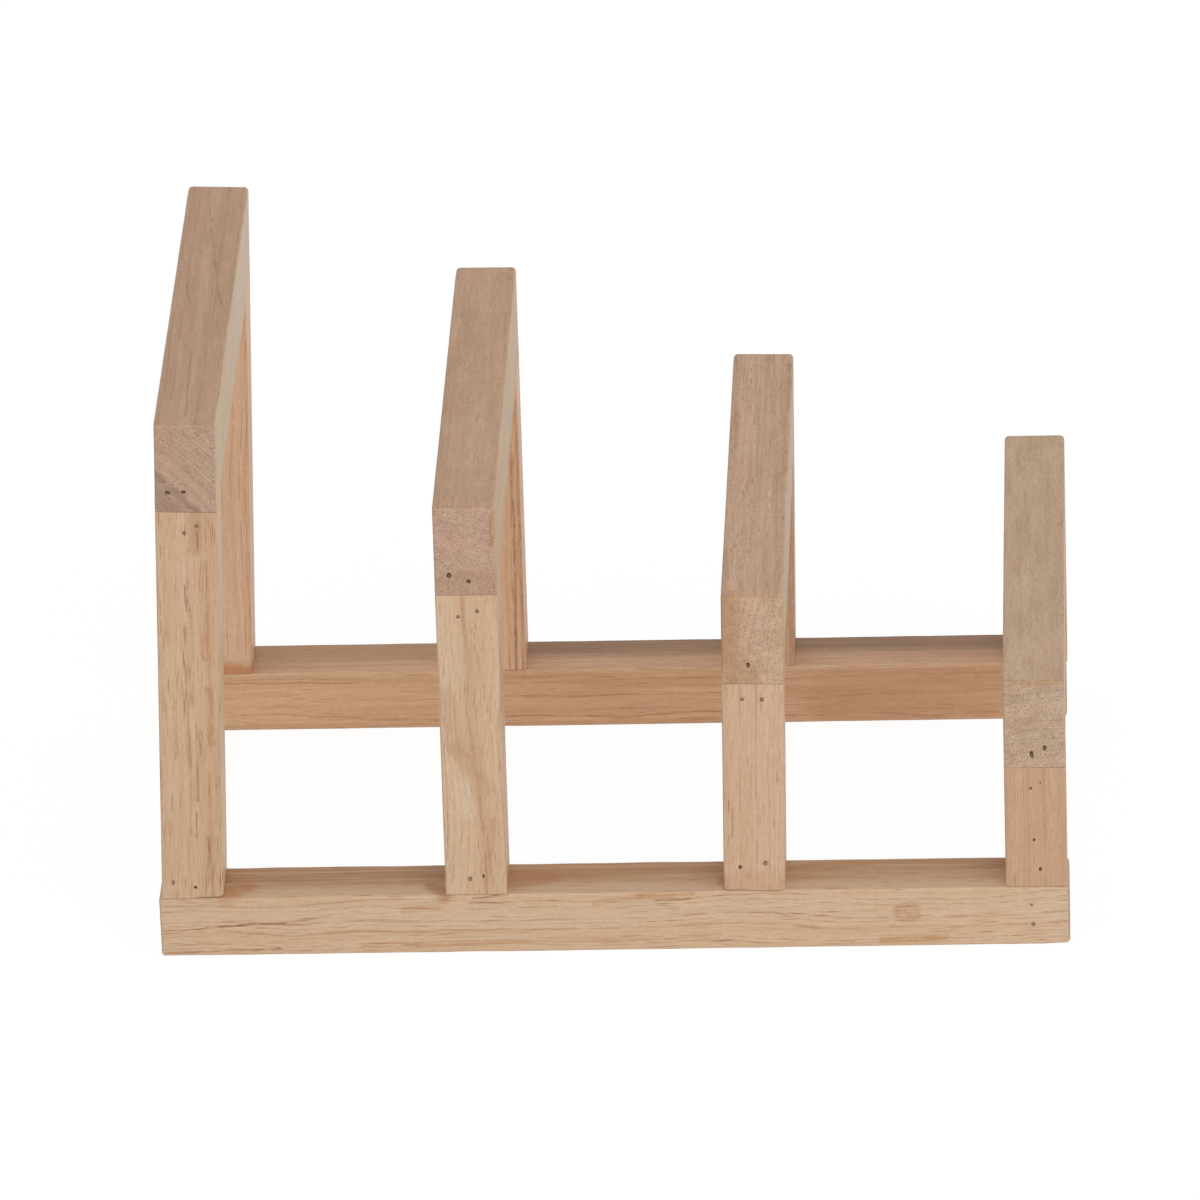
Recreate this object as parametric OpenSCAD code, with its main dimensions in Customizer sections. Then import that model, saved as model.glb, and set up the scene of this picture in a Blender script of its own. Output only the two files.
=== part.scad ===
// Plate rack of planed rubberwood: two rails carry four arches that step down in height.
// An arch is two uprights and a crossbar, butted together and toe-nailed with headed brads.
// X runs along the rails, Y from the front faces to the rear ones, Z up from the surface below.
// The origin is at the middle of the rack's underside.

/* [Rails] */
// Width of a rail from front to back, which the uprights share
rail_w = 18.8; // [17:0.1:26]
// Height of a rail
rail_h = 18.8; // [17:0.1:30]
// Depth of the rack, from the front rail's outer face to the rear rail's
rack_d = 159; // [110:1:240]
// Bare rail past the first arch
left_overhang = 0.9; // [0:0.1:30]
// Bare front rail past the fourth arch
right_overhang = 0.5; // [0:0.1:30]
// How much sooner the rear rail ends there
rear_rail_short = 0.9; // [0:0.1:5]

/* [Arches] */
// Thickness of uprights and crossbars along the rails
stick_t = 17.6; // [15:0.1:24]
// Height of a crossbar
crossbar_h = 27.5; // [22:0.5:36]
// Clear width of the first slot, between arches 1 and 2 at the rails
slot_1_w = 63.6; // [20:0.2:90]
// Clear width of the second slot
slot_2_w = 61.8; // [20:0.2:90]
// Clear width of the third slot
slot_3_w = 62.8; // [20:0.2:90]
// Height of the first arch above the surface below
arch_1_h = 169.5; // [90:0.5:240]
// Height of the second arch
arch_2_h = 142; // [90:0.5:240]
// Height of the third arch
arch_3_h = 112.5; // [80:0.5:240]
// Height of the fourth arch
arch_4_h = 84.5; // [76:0.5:240]

/* [Lean] */
// Lean of the first arch to the right, in degrees
arch_1_lean = 1.9; // [-3:0.1:3]
// Lean of the second arch
arch_2_lean = 0.4; // [-3:0.1:3]
// Lean of the third arch
arch_3_lean = 1.1; // [-3:0.1:3]
// Lean of the fourth arch
arch_4_lean = 0.2; // [-3:0.1:3]

/* [Arrises] */
// Radius of the eased long arrises of a rail
rail_arris_r = 0.5; // [0.3:0.1:2]
// Radius of the sanded corners at a rail's ends
rail_end_r = 1; // [0.3:0.1:3]
// Radius of the eased long arrises of an upright
upright_arris_r = 0.6; // [0.3:0.1:2]
// Radius of the eased arrises of a crossbar
crossbar_arris_r = 1.3; // [0.3:0.1:3]

/* [Brads] */
// Length of a brad with its head
brad_l = 25; // [18:1:27]
// Diameter of a brad's shank
brad_d = 1; // [0.8:0.1:1.2]
// Diameter of a brad's head
brad_head_d = 1.3; // [1.3:0.1:1.7]
// Thickness of a brad's head
brad_head_t = 0.8; // [0.4:0.1:1.2]
// Length of a brad's point
brad_point_l = 1.6; // [1:0.1:3]
// Width of the flat on a brad's point
brad_point_d = 0.2; // [0.1:0.1:0.4]
// Depth of a set head below the face, measured along the brad
brad_set = 1; // [1:0.1:2]
// Angle between a toe-nailed brad and the face's normal, in degrees
toe_angle = 50; // [46:1:54]

/* [Hidden] */
$fn = 32;

rail_tone = "#d3ab7f";
upright_tone = "#dab487";
crossbar_tone = "#bf9b77";
brad_tone = "#6d5c4b";

arches = [1, 2, 3, 4];
last_arch = len(arches);
arch_h = [arch_1_h, arch_2_h, arch_3_h, arch_4_h];
arch_lean = [arch_1_lean, arch_2_lean, arch_3_lean, arch_4_lean];
slot_w = [slot_1_w, slot_2_w, slot_3_w];
rail_l = left_overhang + last_arch * stick_t + slot_1_w + slot_2_w + slot_3_w + right_overhang;

// Middle of an arch's foot along the rails
function arch_x(arch) = arch == 1
    ? -rail_l / 2 + left_overhang + stick_t / 2
    : arch_x(arch - 1) + stick_t + slot_w[arch - 2];
// Height of the joint under a crossbar above the rails' top, along the arch
function joint_h(arch) = arch_h[arch - 1] - rail_h - crossbar_h;

// Length that an upright's blank has to spare below the rails' top before its foot is trimmed
foot_spare = stick_t;

// Where each brad enters: [from the stick's middle, from the joint, sideways splay in degrees].
// Brads that would meet inside the joint are splayed apart.
crossbar_entries = [
    [[-5.1, 6.2, -4], [-0.6, 6.4, -8]],
    [[-4.5, 6.3, 0], [0.9, 4.4, 0]],
    [[-1.2, 6.1, 0]],
    [[-0.8, 4.3, 6], [2.9, 6.3, 4]]];
upright_entries = [
    [[2.9, 4.2, 4], [-0.6, 6.5, 8]],
    [[3, 5.1, 0], [-2.4, 6.8, 0]],
    [[-3, 4.9, 0], [2.6, 4.9, 0]],
    [[1.5, 4.9, 0], [-1.2, 6.6, -6]]];
foot_entries = [
    [[-5.5, 5, 0], [0.9, 3.7, 0]],
    [[-1.6, 5.1, 0], [2.2, 6, 0]],
    [[-4, 7.6, 0], [3.2, 8.9, 0]],
    [[-0.5, 15.2, 4], [1.2, 5.7, 4]]];
rail_entries = [[-1.5, 5.9, -6], [-1.1, 12, -6]];

// Rectangle whose four corners are rounded to radius r
module eased_outline(w, h, r) {
    translate([r, 0]) square([w - 2 * r, h]);
    translate([0, r]) square([w, h - 2 * r]);
    for (x = [r, w - r], y = [r, h - r])
        translate([x, y]) circle(r = r);
}

// The same rectangle with its two lower corners left sharp, where a crossbar's end meets an upright
module eased_top_outline(w, h, r) {
    eased_outline(w, h, r);
    square([w, h / 2]);
}

// Turns an outline drawn across X and Z, or across Y and Z, into a solid of the given depth
module along_y(depth) { translate([0, depth, 0]) rotate([90, 0, 0]) linear_extrude(depth) children(); }
module along_x(depth) { rotate([90, 0, 90]) linear_extrude(depth) children(); }

// Puts its children on an arch: origin at the middle of its foot on the rails' top, Z up the leaning arch
module on_arch(arch) {
    translate([arch_x(arch), 0, rail_h]) rotate([0, arch_lean[arch - 1], 0]) children();
}

// Headed brad whose head starts at the origin, point towards +Z
module brad() {
    cylinder(h = brad_head_t, d = brad_head_d);
    cylinder(h = brad_l - brad_point_l, d = brad_d);
    translate([0, 0, brad_l - brad_point_l])
        cylinder(h = brad_point_l, d1 = brad_d, d2 = brad_point_d);
}

// The hole that a driven brad leaves: the brad's own shape and the open mouth over its head
module brad_hole() {
    translate([0, 0, -brad_set - brad_head_d])
        cylinder(h = brad_set + brad_head_d + brad_head_t / 2, d = brad_head_d);
    brad();
}

// Sets its children at each entry on the front faces, driven down (way 1) or up (way -1) from there
module at_entries(entries, way) {
    for (entry = entries)
        translate([entry[0], -rack_d / 2, way * entry[1]])
            mirror([0, 0, (1 - way) / 2])
                rotate([-90 - toe_angle, 0, 0]) rotate([0, entry[2], 0])
                    translate([0, 0, brad_set]) children();
}

// Sets its children on the front faces and, mirrored, on the rear ones
module on_both_faces() {
    children();
    mirror([0, 1, 0]) children();
}

// Places of the four kinds of joint brad on one arch, front faces only
module at_crossbar_entries(arch) {
    on_arch(arch) translate([0, 0, joint_h(arch)]) at_entries(crossbar_entries[arch - 1], 1) children();
}
module at_upright_entries(arch) {
    on_arch(arch) translate([0, 0, joint_h(arch)]) at_entries(upright_entries[arch - 1], -1) children();
}
module at_foot_entries(arch) {
    on_arch(arch) at_entries(foot_entries[arch - 1], 1) children();
}
module at_rail_entries() {
    on_arch(last_arch) at_entries(rail_entries, -1) children();
}

// Rail: eased on every edge, with the holes of the brads that reach into it
module rail(length) {
    color(rail_tone) difference() {
        translate([-rail_l / 2, -rack_d / 2, 0]) intersection() {
            linear_extrude(rail_h) eased_outline(length, rail_w, rail_end_r);
            along_y(rail_w) eased_outline(length, rail_h, rail_end_r);
            along_x(length) eased_outline(rail_w, rail_h, rail_arris_r);
        }
        for (arch = arches) at_foot_entries(arch) brad_hole();
        at_rail_entries() brad_hole();
    }
}
module front_rail() { rail(rail_l); }
module rear_rail() { mirror([0, 1, 0]) rail(rail_l - rear_rail_short); }

// Upright: long arrises eased, foot trimmed level where it stands on the rail, top square to the arch
module front_upright(arch) {
    color(upright_tone) difference() {
        intersection() {
            on_arch(arch) translate([-stick_t / 2, -rack_d / 2, -foot_spare])
                linear_extrude(foot_spare + joint_h(arch)) eased_outline(stick_t, rail_w, upright_arris_r);
            translate([-rail_l, -rack_d, rail_h]) cube([2 * rail_l, 2 * rack_d, arch_h[arch - 1]]);
        }
        at_crossbar_entries(arch) brad_hole();
        at_upright_entries(arch) brad_hole();
        at_foot_entries(arch) brad_hole();
        if (arch == last_arch) at_rail_entries() brad_hole();
    }
}
module rear_upright(arch) { mirror([0, 1, 0]) front_upright(arch); }

// Crossbar: long arrises eased, end faces eased except along the joint with the upright
module crossbar(arch) {
    color(crossbar_tone) difference() {
        on_arch(arch) translate([-stick_t / 2, -rack_d / 2, joint_h(arch)]) intersection() {
            linear_extrude(crossbar_h) eased_outline(stick_t, rack_d, crossbar_arris_r);
            along_y(rack_d) eased_outline(stick_t, crossbar_h, crossbar_arris_r);
            along_x(stick_t) eased_top_outline(rack_d, crossbar_h, crossbar_arris_r);
        }
        on_both_faces() {
            at_crossbar_entries(arch) brad_hole();
            at_upright_entries(arch) brad_hole();
        }
    }
}

// Brads of each joint row, front and rear
module crossbar_brads(arch) { color(brad_tone) on_both_faces() at_crossbar_entries(arch) brad(); }
module upright_brads(arch) { color(brad_tone) on_both_faces() at_upright_entries(arch) brad(); }
module foot_brads(arch) { color(brad_tone) on_both_faces() at_foot_entries(arch) brad(); }
module rail_brads() { color(brad_tone) on_both_faces() at_rail_entries() brad(); }

front_rail();
rear_rail();
front_upright(1);  // front_upright_1
front_upright(2);  // front_upright_2
front_upright(3);  // front_upright_3
front_upright(4);  // front_upright_4
rear_upright(1);  // rear_upright_1
rear_upright(2);  // rear_upright_2
rear_upright(3);  // rear_upright_3
rear_upright(4);  // rear_upright_4
crossbar(1);  // crossbar_1
crossbar(2);  // crossbar_2
crossbar(3);  // crossbar_3
crossbar(4);  // crossbar_4
crossbar_brads(1);  // crossbar_brads_1
crossbar_brads(2);  // crossbar_brads_2
crossbar_brads(3);  // crossbar_brads_3
crossbar_brads(4);  // crossbar_brads_4
upright_brads(1);  // upright_brads_1
upright_brads(2);  // upright_brads_2
upright_brads(3);  // upright_brads_3
upright_brads(4);  // upright_brads_4
foot_brads(1);  // foot_brads_1
foot_brads(2);  // foot_brads_2
foot_brads(3);  // foot_brads_3
foot_brads(4);  // foot_brads_4
rail_brads();
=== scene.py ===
import math

import bmesh
import bpy
import numpy as np
from mathutils import Euler, Matrix, Vector


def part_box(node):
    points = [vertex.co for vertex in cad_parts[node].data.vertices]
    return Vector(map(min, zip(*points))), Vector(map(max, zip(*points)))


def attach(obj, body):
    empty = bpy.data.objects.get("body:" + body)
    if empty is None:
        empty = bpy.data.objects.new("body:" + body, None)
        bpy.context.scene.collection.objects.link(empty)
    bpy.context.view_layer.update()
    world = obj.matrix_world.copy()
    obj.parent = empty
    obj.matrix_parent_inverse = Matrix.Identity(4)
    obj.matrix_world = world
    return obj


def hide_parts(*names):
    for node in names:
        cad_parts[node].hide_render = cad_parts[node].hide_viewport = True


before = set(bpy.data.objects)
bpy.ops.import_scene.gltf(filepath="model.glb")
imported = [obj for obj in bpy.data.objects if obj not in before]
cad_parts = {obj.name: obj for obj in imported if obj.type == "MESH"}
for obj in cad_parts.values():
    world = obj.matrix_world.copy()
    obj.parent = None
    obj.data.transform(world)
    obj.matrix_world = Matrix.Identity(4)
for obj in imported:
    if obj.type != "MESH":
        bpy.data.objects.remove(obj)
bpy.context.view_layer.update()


# ---- Rails -----------------------------------------------------------------------------------
# Two square rails lie on the surface and carry the arches. They are planed rubberwood, bare and
# hand-sanded, so the arrises are uneven and the end corners are rounded. Each takes eight brads
# from the uprights' feet, and two more are driven up through it into the fourth arch.

def linear(hex_colour):
    """Turns an sRGB hex colour into the linear RGBA that the shaders use."""
    channels = [int(hex_colour[i:i + 2], 16) / 255 for i in (1, 3, 5)]
    return [c / 12.92 if c <= 0.04045 else ((c + 0.055) / 1.055) ** 2.4 for c in channels] + [1]


def add(tree, kind, inputs=None, out=0, **settings):
    """Adds a node with its settings and links, and returns one of its outputs."""
    node = tree.nodes.new(kind)
    for setting, value in settings.items():
        setattr(node, setting, value)
    for socket, value in (inputs or {}).items():
        if isinstance(value, bpy.types.NodeSocket):
            tree.links.new(value, node.inputs[socket])
        else:
            node.inputs[socket].default_value = value
    return node.outputs[out] if len(node.outputs) else node


def new_tree(name, sockets):
    """Starts a Geometry Nodes tree with named inputs, and returns it with those inputs."""
    tree = bpy.data.node_groups.new(name, "GeometryNodeTree")
    for label, kind in sockets.items():
        tree.interface.new_socket(label, in_out="INPUT", socket_type="NodeSocket" + kind)
    tree.interface.new_socket("Mesh", in_out="OUTPUT", socket_type="NodeSocketGeometry")
    return tree, add(tree, "NodeGroupInput").node.outputs


def made_by(tree, name, mesh=None, **values):
    """Runs a tree on a new object at the origin and keeps the result as its plain mesh."""
    made = bpy.data.objects.new(name, mesh or bpy.data.meshes.new(name))
    bpy.context.scene.collection.objects.link(made)
    modifier = made.modifiers.new(tree.name, "NODES")
    modifier.node_group = tree
    for item in tree.interface.items_tree:
        key = item.name.lower().replace(" ", "_")
        if item.in_out == "INPUT" and key in values:
            modifier[item.identifier] = values[key]
    evaluated = made.evaluated_get(bpy.context.evaluated_depsgraph_get())
    result = bpy.data.meshes.new_from_object(evaluated)
    made.modifiers.remove(modifier)
    made.data = result
    result.name = name
    return made


# The planed stick: a box laid out with close rows along its edges, whose edges are then rounded.
# Local X is its thickness, Y its width and Z its length, which is the way the grain runs.
edge_rows = 4            # rows of faces that round an edge
flat_rows = 4            # rows of faces across a flat side
row_step = 0.002         # length of a face along the stick
edge_margin = 1.3        # the close rows reach a little past the rounding
uneven_rate = 32         # how fast the rounding varies along the stick, per metre
wave_rate = 11           # how fast a planed side waves along the stick, per metre
worn_ease_share = 0.4    # of a worn corner's rounding that its end edge shares
sharp_angle = math.radians(35)
stick_tree, given = new_tree("Planed Stick", {
    "Size": "Vector", "Arris": "Float", "Start Ease": "Float", "End Ease": "Float",
    "Start Corner": "Float", "End Corner": "Float", "Worn Foot": "Float", "Waviness": "Float",
    "Seat Share": "Float", "Foot Skew": "Float", "Seed": "Float", "Turn": "Rotation",
    "Place": "Vector", "Holes": "Object", "Wood": "Material", "Torn Fibre": "Material"})
stick_length = add(stick_tree, "ShaderNodeSeparateXYZ", {0: given["Size"]}, out="Z")
rows_along = add(stick_tree, "ShaderNodeMath", {0: stick_length, 1: row_step}, operation="DIVIDE")
points_along = add(stick_tree, "FunctionNodeFloatToInt", {0: add(
    stick_tree, "ShaderNodeMath", {0: rows_along, 1: 2 * edge_rows + 1}, operation="ADD")})
points_across = 2 * edge_rows + flat_rows + 1
box = add(stick_tree, "GeometryNodeMeshCube", {
    "Size": (2, 2, 2), "Vertices X": points_across, "Vertices Y": points_across,
    "Vertices Z": points_along})
spot = add(stick_tree, "GeometryNodeInputPosition")
side = add(stick_tree, "ShaderNodeVectorMath", {0: spot}, operation="SIGN")
side_x, side_y = [add(stick_tree, "ShaderNodeSeparateXYZ", {0: side}, out=axis) for axis in "XY"]
spot_z = add(stick_tree, "ShaderNodeSeparateXYZ", {0: spot}, out="Z")
half = add(stick_tree, "ShaderNodeVectorMath", {0: given["Size"], "Scale": 0.5}, operation="SCALE")
# Rows between each vertex and the nearest face, along each axis
half_rows = add(stick_tree, "ShaderNodeCombineXYZ", {
    "X": (points_across - 1) / 2, "Y": (points_across - 1) / 2,
    "Z": add(stick_tree, "ShaderNodeMath", {0: add(
        stick_tree, "ShaderNodeMath", {0: points_along, 1: 1}, operation="SUBTRACT"), 1: 2},
        operation="DIVIDE")})
middle = add(stick_tree, "ShaderNodeVectorMath", {0: (1, 1, 1), 1: add(
    stick_tree, "ShaderNodeVectorMath", {0: spot}, operation="ABSOLUTE")}, operation="SUBTRACT")
rows_in = add(stick_tree, "ShaderNodeVectorMath", {0: middle, 1: half_rows}, operation="MULTIPLY")
# Rounding at each vertex: uneven along the stick, wider at its sanded ends
grain_along = add(stick_tree, "ShaderNodeMath", {0: spot_z, 1: stick_length}, operation="MULTIPLY")
corner_id = add(stick_tree, "ShaderNodeCombineXYZ", {
    "X": add(stick_tree, "ShaderNodeMath", {0: side_x, 1: 7.3, 2: given["Seed"]},
             operation="MULTIPLY_ADD"),
    "Y": add(stick_tree, "ShaderNodeMath", {0: side_y, 1: 4.1}, operation="MULTIPLY"),
    "Z": add(stick_tree, "ShaderNodeMath", {0: grain_along, 1: uneven_rate},
             operation="MULTIPLY")})
uneven = add(stick_tree, "ShaderNodeTexNoise", {"Vector": corner_id, "Scale": 1, "Detail": 2})
uneven_share = add(stick_tree, "ShaderNodeMapRange", {
    "Value": uneven, "From Min": 0.3, "From Max": 0.7, "To Min": 0.75, "To Max": 1.25})
long_arris = add(stick_tree, "ShaderNodeMath", {0: given["Arris"], 1: uneven_share},
                 operation="MULTIPLY")
worn = add(stick_tree, "ShaderNodeMath", {0: add(
    stick_tree, "ShaderNodeMath", {0: side_x, 1: given["Worn Foot"]}, operation="MULTIPLY"),
    1: 0}, operation="MAXIMUM")
foot_ease, foot_corner = [
    add(stick_tree, "ShaderNodeMath", {0: worn, 1: share, 2: given[label]},
        operation="MULTIPLY_ADD")
    for label, share in (("Start Ease", worn_ease_share), ("Start Corner", 1.0))]
at_far_end = add(stick_tree, "FunctionNodeCompare", {0: spot_z, 1: 0.0}, operation="GREATER_THAN")
corner_arris, end_ease = [
    add(stick_tree, "GeometryNodeSwitch", {0: at_far_end, "False": start, "True": given[label]},
        input_type="FLOAT")
    for start, label in ((foot_corner, "End Corner"), (foot_ease, "End Ease"))]
near_end = add(stick_tree, "ShaderNodeMapRange", {
    "Value": add(stick_tree, "ShaderNodeSeparateXYZ", {0: rows_in}, out="Z"),
    "From Min": edge_rows, "From Max": edge_rows + 3, "To Min": 1, "To Max": 0})
arris = add(stick_tree, "ShaderNodeMix", {0: near_end, 2: long_arris, 3: corner_arris})
# A side that is seated on another stick keeps its edges nearly sharp
toward_seat = add(stick_tree, "ShaderNodeMapRange", {
    "Value": add(stick_tree, "ShaderNodeSeparateXYZ", {0: rows_in}, out="Y"),
    "From Min": edge_rows, "From Max": edge_rows + 1, "To Min": given["Seat Share"], "To Max": 1})
kept = add(stick_tree, "GeometryNodeSwitch", {
    0: add(stick_tree, "FunctionNodeCompare", {0: side_y, 1: 0.5}, operation="GREATER_THAN"),
    "False": 1.0, "True": toward_seat}, input_type="FLOAT")
radii = add(stick_tree, "ShaderNodeVectorMath", {0: add(
    stick_tree, "ShaderNodeCombineXYZ", {"X": arris, "Y": arris, "Z": end_ease}),
    "Scale": kept}, operation="SCALE")
# Depth of each vertex below its faces: close rows over the rounding, wide ones between
zone = add(stick_tree, "ShaderNodeVectorMath", {0: radii, "Scale": edge_margin}, operation="SCALE")
close_rows = add(stick_tree, "ShaderNodeVectorMath", {0: add(
    stick_tree, "ShaderNodeVectorMath", {0: rows_in, "Scale": 1 / edge_rows}, operation="SCALE"),
    1: (1, 1, 1)}, operation="MINIMUM")
edge_count = (edge_rows,) * 3
wide_rows = add(stick_tree, "ShaderNodeVectorMath", {
    0: add(stick_tree, "ShaderNodeVectorMath", {0: add(
        stick_tree, "ShaderNodeVectorMath", {0: rows_in, 1: edge_count}, operation="SUBTRACT"),
        1: (0, 0, 0)}, operation="MAXIMUM"),
    1: add(stick_tree, "ShaderNodeVectorMath", {0: half_rows, 1: edge_count},
           operation="SUBTRACT")}, operation="DIVIDE")
flat_part = add(stick_tree, "ShaderNodeVectorMath", {0: half, 1: zone}, operation="SUBTRACT")
inset = add(stick_tree, "ShaderNodeVectorMath", {
    0: zone, 1: close_rows, 2: add(stick_tree, "ShaderNodeVectorMath", {
        0: flat_part, 1: wide_rows}, operation="MULTIPLY")}, operation="MULTIPLY_ADD")
out = add(stick_tree, "ShaderNodeVectorMath", {0: half, 1: inset}, operation="SUBTRACT")
# Whatever lies beyond the rounding's centre is drawn back onto the rounding
beyond = add(stick_tree, "ShaderNodeVectorMath", {0: add(
    stick_tree, "ShaderNodeVectorMath", {0: out, 1: add(
        stick_tree, "ShaderNodeVectorMath", {0: half, 1: radii}, operation="SUBTRACT")},
    operation="SUBTRACT"), 1: (0, 0, 0)}, operation="MAXIMUM")
reach = add(stick_tree, "ShaderNodeMath", {0: add(
    stick_tree, "ShaderNodeVectorMath", {0: add(
        stick_tree, "ShaderNodeVectorMath", {0: beyond, 1: radii}, operation="DIVIDE")},
    out="Value", operation="LENGTH"), 1: 1}, operation="MAXIMUM")
draw_back = add(stick_tree, "ShaderNodeMath", {0: add(
    stick_tree, "ShaderNodeMath", {0: 1, 1: reach}, operation="DIVIDE"), 1: 1},
    operation="SUBTRACT")
rounded = add(stick_tree, "ShaderNodeVectorMath", {
    0: out, 1: add(stick_tree, "ShaderNodeVectorMath", {0: beyond, "Scale": draw_back},
                   operation="SCALE")}, operation="ADD")
# The plane leaves each side a little wavy, always inwards
dips = [add(stick_tree, "ShaderNodeMath", {0: add(
    stick_tree, "ShaderNodeTexNoise", {"Vector": add(stick_tree, "ShaderNodeCombineXYZ", {
        "X": add(stick_tree, "ShaderNodeMath", {0: which, 1: 2.9, 2: given["Seed"]},
                 operation="MULTIPLY_ADD"),
        "Y": offset,
        "Z": add(stick_tree, "ShaderNodeMath", {0: grain_along, 1: wave_rate},
                 operation="MULTIPLY")}),
        "Scale": 1, "Detail": 1}), 1: given["Waviness"]}, operation="MULTIPLY")
    for which, offset in ((side_x, 0.0), (side_y, 20.0))]
planed = add(stick_tree, "ShaderNodeVectorMath", {
    0: rounded, 1: add(stick_tree, "ShaderNodeCombineXYZ", {"X": dips[0], "Y": dips[1]})},
    operation="SUBTRACT")
placed = add(stick_tree, "ShaderNodeVectorMath", {0: planed, 1: side}, operation="MULTIPLY")
# A leaning upright's foot is trimmed level, and its top stays square
from_top = add(stick_tree, "ShaderNodeMath", {0: spot_z, 1: -0.5, 2: 0.5},
               operation="MULTIPLY_ADD")
trim = add(stick_tree, "ShaderNodeMath", {
    0: add(stick_tree, "ShaderNodeSeparateXYZ", {0: placed}, out="X"),
    1: add(stick_tree, "ShaderNodeMath", {0: from_top, 1: given["Foot Skew"]},
           operation="MULTIPLY")}, operation="MULTIPLY")
shape = add(stick_tree, "GeometryNodeSetPosition", {"Geometry": box, "Position": add(
    stick_tree, "ShaderNodeVectorMath", {
        0: placed, 1: add(stick_tree, "ShaderNodeCombineXYZ", {"Z": trim})}, operation="ADD")})
standing = add(stick_tree, "GeometryNodeTransform", {
    "Geometry": shape, "Translation": given["Place"], "Rotation": given["Turn"]})
drilled = add(stick_tree, "GeometryNodeMeshBoolean", {
    0: standing, 1: add(stick_tree, "GeometryNodeObjectInfo", {"Object": given["Holes"]},
                        out="Geometry")}, operation="DIFFERENCE", solver="MANIFOLD")
smooth = add(stick_tree, "GeometryNodeSetShadeSmooth", {"Geometry": drilled})
sharp = add(stick_tree, "GeometryNodeSetShadeSmooth", {
    "Geometry": smooth, "Shade Smooth": False, "Selection": add(
        stick_tree, "FunctionNodeCompare", {
            0: add(stick_tree, "GeometryNodeInputMeshEdgeAngle"), 1: sharp_angle},
        operation="GREATER_THAN")}, domain="EDGE")
whole = add(stick_tree, "GeometryNodeRealizeInstances", {0: sharp})
# The hole walls keep the torn fibre material, whose dark brown is partly painted shade
in_hole = add(stick_tree, "GeometryNodeMaterialSelection", {0: given["Torn Fibre"]})
add(stick_tree, "NodeGroupOutput", {0: add(stick_tree, "GeometryNodeSetMaterial", {
    "Geometry": whole, "Material": given["Wood"],
    "Selection": add(stick_tree, "FunctionNodeBooleanMath", {0: in_hole}, operation="NOT")})})


def brads_in(node):
    """Head's middle and driving direction of each brad in a CAD node, front ones first."""
    same_place, end_slack = 1e-6, 5e-5
    solid = bmesh.new()
    solid.from_mesh(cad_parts[node].data)
    bmesh.ops.remove_doubles(solid, verts=solid.verts, dist=same_place)
    waiting, found = set(solid.verts), []
    while waiting:
        group, edge = [], [waiting.pop()]
        while edge:
            vertex = edge.pop()
            group.append(vertex.co)
            linked = {e.other_vert(vertex) for e in vertex.link_edges} & waiting
            waiting -= linked
            edge.extend(linked)
        points = np.array(group)
        centre = points.mean(0)
        along = (points - centre) @ np.linalg.svd(points - centre)[2][0]
        ends = [points[along > along.max() - end_slack], points[along < along.min() + end_slack]]
        ends.sort(key=lambda end: -np.ptp(end, axis=0).max())
        head, tip = [Vector((end.max(0) + end.min(0)) / 2) for end in ends]
        found.append((head, (tip - head).normalized()))
    solid.free()
    return sorted(found, key=lambda brad: (brad[0].y > 0, round(brad[0].x, 4), -brad[0].z))


# Brad sizes, in metres: 18 gauge wire with a small head, set below the face
brad_length = 0.025
head_height = 0.0008
shank_radius, point_length, tip_radius = 0.0005, 0.0016, 0.0001
set_depth = 0.001        # of a head's middle under the face, along the brad
toe_angle = math.radians(50)
mouth_radius = 0.0006    # of the hole that is left open in the face
hole_mouth = 0.003       # the cutting shape reaches out of the wood


def turned(name, rings, sides=16):
    """A closed shape round local Z, the way that the brad is driven, which starts at the face.

    Each ring is its radius, its depth and whether it lies level with the face, at the toe angle,
    or square to the brad.
    """
    shape = bmesh.new()
    made_rings = []
    for radius, depth, in_face in rings:
        tilt = toe_angle if in_face else 0.0
        made_rings.append([])
        for side in range(sides):
            x, y = [radius * f(2 * math.pi * side / sides) for f in (math.cos, math.sin)]
            made_rings[-1].append(shape.verts.new(
                (x, y * math.cos(tilt), depth + y * math.sin(tilt))))
    for lower, upper in zip(made_rings, made_rings[1:]):
        for side in range(sides):
            shape.faces.new((lower[side], lower[side - 1], upper[side - 1], upper[side]))
    shape.faces.new(made_rings[0])
    shape.faces.new(reversed(made_rings[-1]))
    bmesh.ops.recalc_face_normals(shape, faces=shape.faces)
    mesh = bpy.data.meshes.new(name)
    shape.to_mesh(mesh)
    shape.free()
    made = bpy.data.objects.new(name, mesh)
    bpy.context.scene.collection.objects.link(made)
    return made


# Instances of one turned shape at every brad's place, each with a size and a ragged edge of its own
bite_size = 0.0005       # of the nicks in a ragged edge
brad_tree, given = new_tree("Driven Brads", {
    "Places": "Geometry", "Shape": "Object", "Ragged": "Float", "Finish": "Material"})
brad_shape = add(brad_tree, "GeometryNodeObjectInfo", {"Object": given["Shape"]}, out="Geometry")
driven = add(brad_tree, "GeometryNodeInstanceOnPoints", {
    "Points": given["Places"], "Instance": brad_shape,
    "Rotation": add(brad_tree, "FunctionNodeEulerToRotation", {0: add(
        brad_tree, "GeometryNodeInputNamedAttribute", {"Name": "drive_turn"},
        data_type="FLOAT_VECTOR")}),
    "Scale": add(brad_tree, "GeometryNodeInputNamedAttribute", {"Name": "mark_size"},
                 data_type="FLOAT_VECTOR")})
bite = add(brad_tree, "ShaderNodeVectorMath", {0: add(
    brad_tree, "ShaderNodeTexNoise", {
        "Vector": add(brad_tree, "GeometryNodeInputPosition"), "Scale": 1 / bite_size},
    out="Color"), 1: (0.5, 0.5, 0.5)}, operation="SUBTRACT")
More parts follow.
